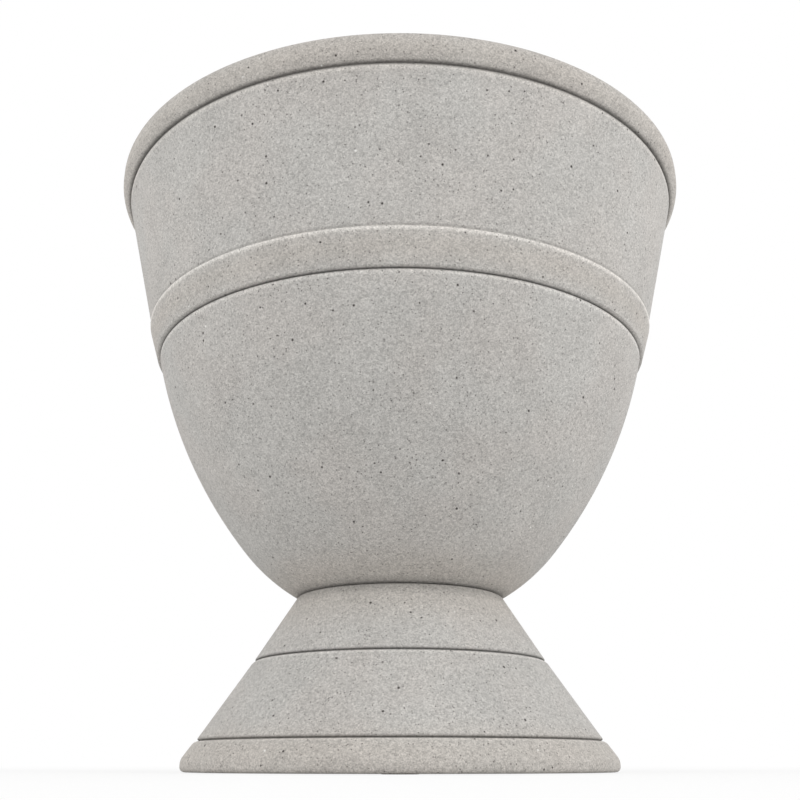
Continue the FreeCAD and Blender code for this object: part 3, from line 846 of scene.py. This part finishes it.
def makeFoot(size):
    piece = turnPiece("footCasting", footCorners(size), size["sides"])
    drillRound(piece, size["boltHole"], size["boltCircle"], 3, *size["boltHoleSpan"])
    pocketTop = size["bottom"] + size["padDepth"]
    drillRound(piece, size["padPocket"], size["padCircle"], 4, -0.002, pocketTop)
    smoothPiece(piece, 35)
    piece.data.materials.append(concrete)
    finishPiece(piece, "urn", "concrete", "pedestal")
    return piece


footPiece = makeFoot(foot)
print("pedestal ready:", len(footPiece.data.polygons), "faces")


# Finishes of the hardware.
smallFinishes = {
    "blackRubber": {
        "clean": (0.030, 0.030, 0.029, 1),
        "worn": (0.052, 0.050, 0.047, 1),
        "patch": 0.009,
        "roughness": 0.66,
        "metallic": 0.0,
        "relief": 0.00004,
    },
    "greyRubber": {
        "clean": (0.440, 0.430, 0.415, 1),
        "worn": (0.500, 0.490, 0.470, 1),
        "patch": 0.008,
        "roughness": 0.80,
        "metallic": 0.0,
        "relief": 0.00004,
    },
    "zincedSteel": {
        "clean": (0.600, 0.605, 0.600, 1),
        "worn": (0.480, 0.480, 0.465, 1),
        "patch": 0.004,
        "roughness": 0.36,
        "metallic": 1.0,
        "relief": 0.00001,
    },
    "drainBrass": {
        "clean": (0.700, 0.520, 0.240, 1),
        "worn": (0.420, 0.300, 0.150, 1),
        "patch": 0.007,
        "roughness": 0.48,
        "metallic": 1.0,
        "relief": 0.000005,
    },
}
dustLook = {
    "colour": (0.42, 0.41, 0.39, 1),
    "share": 0.35,
    "spacing": 0.0022,
    "radius": 0.00022,
    "roughGain": 0.3,
    "grainSize": 0.0003,
    "roughSwing": 0.12,
}


def makeSmallFinish(name, look, dusty):
    material, tree, shader, place = newMaterial(name)
    mottle = placeGroup(tree, castMottle, place, **{"Patch Size": look["patch"]})
    grain = placeGroup(tree, sandGrain, place, **{"Grain Size": dusty["grainSize"]})
    dust = placeGroup(tree, pinHoles, place, Spacing=dusty["spacing"], Radius=dusty["radius"])
    colour = colourMix(tree, mottle.outputs["Tint"], look["clean"], look["worn"])
    dustMask = mathNode(tree, "MULTIPLY", dust.outputs["Mask"], dusty["share"])
    colour = colourMix(tree, dustMask, colour, dusty["colour"])
    tree.links.new(colour, shader.inputs["Base Color"])
    low, high = look["roughness"] - dusty["roughSwing"], look["roughness"] + dusty["roughSwing"]
    rough = rangeNode(tree, mottle.outputs["Tone"], -0.2, 0.2, low, high)
    dustRough = mathNode(tree, "MULTIPLY", dust.outputs["Mask"], dusty["roughGain"])
    rough = mathNode(tree, "ADD", rough, dustRough, clamp=True)
    tree.links.new(rough, shader.inputs["Roughness"])
    shader.inputs["Metallic"].default_value = look["metallic"]
    relief = bumpNode(tree, grain.outputs["Height"], look["relief"])
    tree.links.new(relief, shader.inputs["Normal"])
    return material


def coatPiece(piece, name):
    piece.data.materials.clear()
    piece.data.materials.append(finish[name])


finish = {name: makeSmallFinish(name, look, dustLook) for name, look in smallFinishes.items()}
for node in ("seat_gasket", "drain_washer"):  # these two keep their CAD shape
    coatPiece(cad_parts[node], "blackRubber")
print("hardware finishes ready")


# Tie bolts through the bowl's floor and the deck, with their washers and nuts.
tie = {
    "circle": 0.0420,
    "count": 3,
    "shankRadius": 0.0040,
    "rootRadius": 0.0034,
    "axisRadius": 0.0004,  # of the small face that closes a turned end
    "pitch": 0.00125,
    "crestSink": 0.00004,
    "tip": 0.0710,
    "tipChamfer": 0.0007,
    "threadStart": 0.0005,
    "threadTop": 0.0925,
    "threadRunout": 0.0008,
    "headSink": 0.0003,
    "headSoft": 0.00015,
    "collarShare": 0.46,
    "collarThick": 0.0008,
    "headBottom": 0.1325,
    "headTop": 0.1378,
    "flats": 0.0130,
    "sealBottom": 0.1295,
    "sealRubber": 0.0017,
    "sealRadius": 0.0090,
    "sealSet": 0.0003,  # how far the rubber stays back from the cap's edge
    "sealRound": 0.0006,
    "capGap": 0.0001,
    "capEdge": 0.0005,
    "capEdgeRound": 0.0003,
    "capDome": 0.0022,
    "capDomeRound": 0.0008,
    "washerBore": 0.0043,
    "plateBottom": 0.0805,
    "plateTop": 0.0825,
    "plateRadius": 0.0095,
    "plateEdge": 0.0002,
    "plateRound": 0.0006,
    "nutBottom": 0.0740,
    "nutTop": 0.0805,
    "nutBore": 0.00405,
    "nutSoft": 0.00020,
}


def makeTieBolt(size):
    tip, root, shankRadius = size["tip"], size["rootRadius"], size["shankRadius"]
    headBottom, chamfer = size["headBottom"], size["tipChamfer"]
    head = cutHexagon(
        "tieBolt", size["flats"], headBottom + size["headSink"], size["headTop"], True, False
    )
    softenEdges(head, size["headSoft"])
    collar = size["flats"] * size["collarShare"]
    collarTop = headBottom + size["collarThick"]
    shank = turnSolid(
        "shank",
        [
            (size["axisRadius"], tip),
            (root - chamfer, tip),
            (root, tip + chamfer),
            (root, size["threadTop"]),
            (shankRadius, size["threadTop"] + size["threadRunout"]),
            (shankRadius, headBottom),
            (collar, headBottom),
            (collar, collarTop),
            (size["axisRadius"], collarTop),
        ],
        48,
    )
    turns = int((size["threadTop"] - tip) / size["pitch"])
    crest = shankRadius - size["crestSink"]
    thread = windThread("thread", crest, size["pitch"], tip + size["threadStart"], turns)
    return joinPieces("tieBolt", [head, shank, thread])


def drillNut(nut, size, sides):
    middle = (size["nutBottom"] + size["nutTop"]) / 2
    drillHole(nut, size["nutBore"], middle - 0.01, middle + 0.01, sides=sides)


def makeTieNut(size):
    nut = cutHexagon("tieNut", size["flats"], size["nutBottom"], size["nutTop"], True, True)
    drillNut(nut, size, 48)
    softenEdges(nut, size["nutSoft"])
    return nut


def makePlateWasher(size):
    low, high, edge = size["plateBottom"], size["plateTop"], size["plateEdge"]
    corners = [
        (size["washerBore"], low, edge, 2),
        (size["plateRadius"], low, size["plateRound"], 4),
        (size["plateRadius"], high, edge, 2),
        (size["washerBore"], high, edge, 2),
    ]
    return turnPiece("plateWasher", corners, 64)


def makeSealWasher(size):
    # a domed steel cap bonded onto a rubber ring
    low, top, bore = size["sealBottom"], size["headBottom"], size["washerBore"]
    lift = low + size["sealRubber"]
    rubberRadius = size["sealRadius"] - size["sealSet"]
    rubberRing = turnPiece(
        "sealRubber",
        [
            (bore, low),
            (rubberRadius, low, size["sealRound"], 4),
            (rubberRadius, lift),
            (bore, lift),
        ],
        64,
    )
    coatPiece(rubberRing, "blackRubber")
    cap = turnPiece(
        "sealCap",
        [
            (bore, lift + size["capGap"]),
            (size["sealRadius"], lift + size["capGap"]),
            (size["sealRadius"], lift + size["capEdge"], size["capEdgeRound"], 3),
            (size["sealRadius"] - size["capDome"], top, size["capDomeRound"], 4),
            (bore, top),
        ],
        64,
    )
    coatPiece(cap, "zincedSteel")
    return joinPieces("sealWasher", [cap, rubberRing])


def repeatPiece(piece, body, slot, node, places):
    # copies of a piece at its places, each with its own mesh, and the pattern piece removed
    smoothPiece(piece, 30)
    for number, place in enumerate(places, start=1):
        twin = copyPiece(piece, "%s%d" % (piece.name, number), place)
        finishPiece(twin, body, slot, node)
    bpy.data.objects.remove(piece)


tiePlaces = roundPlaces(tie["circle"], tie["count"])
for maker, node, material in (
    (makeTieBolt, "tie_bolts", "zincedSteel"),
    (makeTieNut, "tie_nuts", "zincedSteel"),
    (makePlateWasher, "plate_washers", "zincedSteel"),
    (makeSealWasher, "seal_washers", None),
):
    part = maker(tie)
    if material:
        coatPiece(part, material)
    repeatPiece(part, "urn", "steel" if material else "rubber", node, tiePlaces)
print("tie bolts ready")


# The drain's sleeve and nut, and the plug that lifts out.
drain = {
    "bore": 0.0090,
    "tubeRadius": 0.0120,
    "rootRadius": 0.0110,
    "bottom": 0.0715,
    "threadStart": 0.0003,
    "threadTop": 0.0905,
    "threadRunout": 0.0010,
    "crestSink": 0.00004,
    "pitch": 0.0020,
    "tailRound": 0.0004,
    "flangeRadius": 0.0180,
    "flangeBottom": 0.1270,
    "flangeTop": 0.1295,
    "flangeEdge": 0.0003,
    "flangeRound": 0.0012,
    "mouthRound": 0.0008,
    "nutFlats": 0.0340,
    "nutBottom": 0.0755,
    "nutTop": 0.0825,
    "nutBore": 0.01205,
    "nutSoft": 0.00035,
    "axisRadius": 0.0006,
    "plugSeat": 0.1298,
    "plugTip": 0.1158,
    "plugTipRadius": 0.0079,
    "plugTipRound": 0.0012,
    "plugSeatRound": 0.0003,
    "plugStemRadius": 0.0087,
    "plugHeadRadius": 0.0130,
    "plugHeadTop": 0.1333,
    "plugHeadLower": 0.0006,
    "plugHeadRound": 0.0012,
    # a shallow ring in the head: four radii as shares of the head's, and its depth
    "plugRing": (0.72, 0.70, 0.66, 0.64),
    "plugRingDepth": 0.0004,
    "plugWaist": 0.0032,
    "waistLowerRound": 0.0016,
    "waistUpperRound": 0.0012,
    "waistStop": 0.0010,  # below the grip's underside
    "plugGripRadius": 0.0055,
    "plugGripBottom": 0.1393,
    "plugGripTop": 0.1443,
    "gripLift": 0.0004,
    "gripLowerRound": 0.0010,
    "gripRound": 0.0013,
}


def makeDrainSleeve(size):
    bottom = size["bottom"]
    tube = turnPiece(
        "drainSleeve",
        [
            (size["bore"], bottom, size["tailRound"], 2),
            (size["rootRadius"], bottom, size["tailRound"], 2),
            (size["rootRadius"], size["threadTop"]),
            (size["tubeRadius"], size["threadTop"] + size["threadRunout"]),
            (size["tubeRadius"], size["flangeBottom"]),
            (size["flangeRadius"], size["flangeBottom"], size["flangeEdge"], 2),
            (size["flangeRadius"], size["flangeTop"], size["flangeRound"], 6),
            (size["bore"], size["flangeTop"], size["mouthRound"], 5),
        ],
        96,
    )
    turns = int((size["threadTop"] - bottom) / size["pitch"])
    crest = size["tubeRadius"] - size["crestSink"]
    thread = windThread("thread", crest, size["pitch"], bottom + size["threadStart"], turns)
    sleeve = joinPieces("drainSleeve", [tube, thread])
    coatPiece(sleeve, "drainBrass")
    smoothPiece(sleeve, 35)
    finishPiece(sleeve, "urn", "brass", "drain_sleeve")


def makeDrainNut(size):
    nut = cutHexagon("drainNut", size["nutFlats"], size["nutBottom"], size["nutTop"], True, True)
    drillNut(nut, size, 96)
    softenEdges(nut, size["nutSoft"])
    coatPiece(nut, "drainBrass")
    smoothPiece(nut, 35)
    finishPiece(nut, "urn", "brass", "drain_nut")


def makeDrainPlug(size):
    seat, head, grip = size["plugSeat"], size["plugHeadTop"], size["plugGripTop"]
    axisRadius, waist, rim = size["axisRadius"], size["plugWaist"], size["plugHeadRadius"]
    gripRadius, gripBottom = size["plugGripRadius"], size["plugGripBottom"]
    ring = [rim * share for share in size["plugRing"]]
    ringFloor = head - size["plugRingDepth"]
    plug = turnSolid(
        "drainPlug",
        [
            (axisRadius, size["plugTip"]),
            (size["plugTipRadius"], size["plugTip"], size["plugTipRound"], 6),
            (size["plugStemRadius"], seat, size["plugSeatRound"], 2),
            (rim, seat, size["plugHeadLower"], 3),
            (rim, head, size["plugHeadRound"], 6),
            (ring[0], head),
            (ring[1], ringFloor),
            (ring[2], ringFloor),
            (ring[3], head),
            (waist, head, size["waistLowerRound"], 6),
            (waist, gripBottom - size["waistStop"], size["waistUpperRound"], 5),
            (gripRadius, gripBottom + size["gripLift"], size["gripLowerRound"], 5),
            (gripRadius, grip, size["gripRound"], 6),
            (axisRadius, grip),
        ],
        72,
    )
    coatPiece(plug, "blackRubber")
    smoothPiece(plug, 40)
    finishPiece(plug, "plug", "rubber", "drain_plug")


makeDrainSleeve(drain)
makeDrainNut(drain)
makeDrainPlug(drain)
print("drain ready")


# Pads under the plinth.
padSize = {
    "circle": 0.1193,
    "count": 4,
    "radius": 0.0100,
    "thick": 0.0030,
    "round": 0.0006,
    "topRound": 0.0003,
    "ringRadius": 0.0062,
    "ringSlope": 0.0006,
    "ringRound": 0.0002,
    "ringDepth": 0.0003,
    "axisRadius": 0.0006,
}


def makeFootPad(size):
    # a moulded disc with a shallow dish in its underside
    ring, deep, axisRadius = size["ringRadius"], size["ringDepth"], size["axisRadius"]
    pad = turnSolid(
        "footPad",
        [
            (axisRadius, deep),
            (ring, deep),
            (ring + size["ringSlope"], 0.0, size["ringRound"], 2),
            (size["radius"], 0.0, size["round"], 4),
            (size["radius"], size["thick"], size["topRound"], 2),
            (axisRadius, size["thick"]),
        ],
        64,
    )
    coatPiece(pad, "greyRubber")
    return pad


padPlaces = roundPlaces(padSize["circle"], padSize["count"])
repeatPiece(makeFootPad(padSize), "urn", "rubber", "foot_pads", padPlaces)
print("foot pads ready")


# Floor, light and camera.
stage = {
    "floorSize": 12.0,
    "floorColour": (0.70, 0.70, 0.70, 1),
    "worldStrength": 0.79,
    # place, power and size of each lamp
    "lamps": {
        "rightLamp": ((2.4, -1.2, 0.7), 28.0, 1.8),
        "leftLamp": ((-2.4, -1.2, 0.7), 19.5, 1.8),
        "topLamp": ((-0.3, -0.9, 2.2), 2.0, 1.4),
    },
    "floorGlow": 0.72,
    "floorFade": (0.35, 1.40),
}


def seenRays(tree):
    # 1 for rays from the camera, also by way of a reflection or a clear surface
    path = tree.nodes.new("ShaderNodeLightPath")
    shiny = mathNode(
        tree, "MAXIMUM", path.outputs["Is Glossy Ray"], path.outputs["Is Transmission Ray"]
    )
    return mathNode(tree, "MAXIMUM", path.outputs["Is Camera Ray"], shiny)


def makeFloor(size):
    clearSelection()
    bpy.ops.mesh.primitive_plane_add(size=size["floorSize"], location=(0, 0, 0))
    floor = bpy.context.object
    floor.name = "floor"
    bpy.ops.object.transform_apply(location=True, rotation=True, scale=True)
    material = bpy.data.materials.new("paleFloor")
    material.use_nodes = True
    tree = material.node_tree
    tree.nodes.clear()
    plain = tree.nodes.new("ShaderNodeBsdfDiffuse")
    plain.inputs["Color"].default_value = size["floorColour"]
    white = tree.nodes.new("ShaderNodeBsdfDiffuse")
    white.inputs["Color"].default_value = (1, 1, 1, 1)
    glow = tree.nodes.new("ShaderNodeEmission")
    bright = tree.nodes.new("ShaderNodeMixShader")
    # the shadow shows near the urn, and the floor turns as white as the background further out
    coordinates = tree.nodes.new("ShaderNodeTexCoord")
    distance = tree.nodes.new("ShaderNodeVectorMath")
    distance.operation = "LENGTH"
    tree.links.new(coordinates.outputs["Object"], distance.inputs[0])
    near, far = size["floorFade"]
    share = rangeNode(tree, distance.outputs["Value"], near, far, size["floorGlow"], 1.0, True)
    tree.links.new(share, bright.inputs["Fac"])
    tree.links.new(white.outputs[0], bright.inputs[1])
    tree.links.new(glow.outputs[0], bright.inputs[2])
    mix = tree.nodes.new("ShaderNodeMixShader")
    output = tree.nodes.new("ShaderNodeOutputMaterial")
    tree.links.new(seenRays(tree), mix.inputs["Fac"])
    tree.links.new(plain.outputs[0], mix.inputs[1])
    tree.links.new(bright.outputs[0], mix.inputs[2])
    tree.links.new(mix.outputs[0], output.inputs["Surface"])
    floor.data.materials.append(material)


def makeWorld(size):
    world = bpy.data.worlds.new("studio")
    bpy.context.scene.world = world
    world.use_nodes = True
    tree = world.node_tree
    tree.nodes.clear()
    background = tree.nodes.new("ShaderNodeBackground")
    background.inputs["Color"].default_value = (1, 1, 1, 1)
    strength = rangeNode(tree, seenRays(tree), 0.0, 1.0, size["worldStrength"], 1.0)
    tree.links.new(strength, background.inputs["Strength"])
    output = tree.nodes.new("ShaderNodeOutputWorld")
    tree.links.new(background.outputs[0], output.inputs["Surface"])


def addLamp(name, place, power, size):
    lamp = bpy.data.lights.new(name, "AREA")
    lamp.energy = power
    lamp.size = size
    item = bpy.data.objects.new(name, lamp)
    bpy.context.scene.collection.objects.link(item)
    item.location = place
    aim = Vector((0, 0, 0.2)) - Vector(place)
    item.rotation_euler = aim.to_track_quat("-Z", "Y").to_euler()


photoView = {
    "lens": 45.295,
    "sensor": 36.0,
    "place": (0.0, -0.6725, 0.00546),
    "lookUp": 19.831,  # degrees above the level
    "nearest": 0.01,
}


def addCamera(view):
    lens = bpy.data.cameras.new("photoCamera")
    lens.lens = view["lens"]
    lens.sensor_width = view["sensor"]
    lens.clip_start = view["nearest"]
    item = bpy.data.objects.new("photoCamera", lens)
    bpy.context.scene.collection.objects.link(item)
    item.location = view["place"]
    item.rotation_euler = (math.radians(90 + view["lookUp"]), 0, 0)
    bpy.context.scene.camera = item


makeFloor(stage)
makeWorld(stage)
for name, (place, power, width) in stage["lamps"].items():
    addLamp(name, place, power, width)
addCamera(photoView)
bpy.context.scene.view_settings.view_transform = "Standard"
print("stage ready")
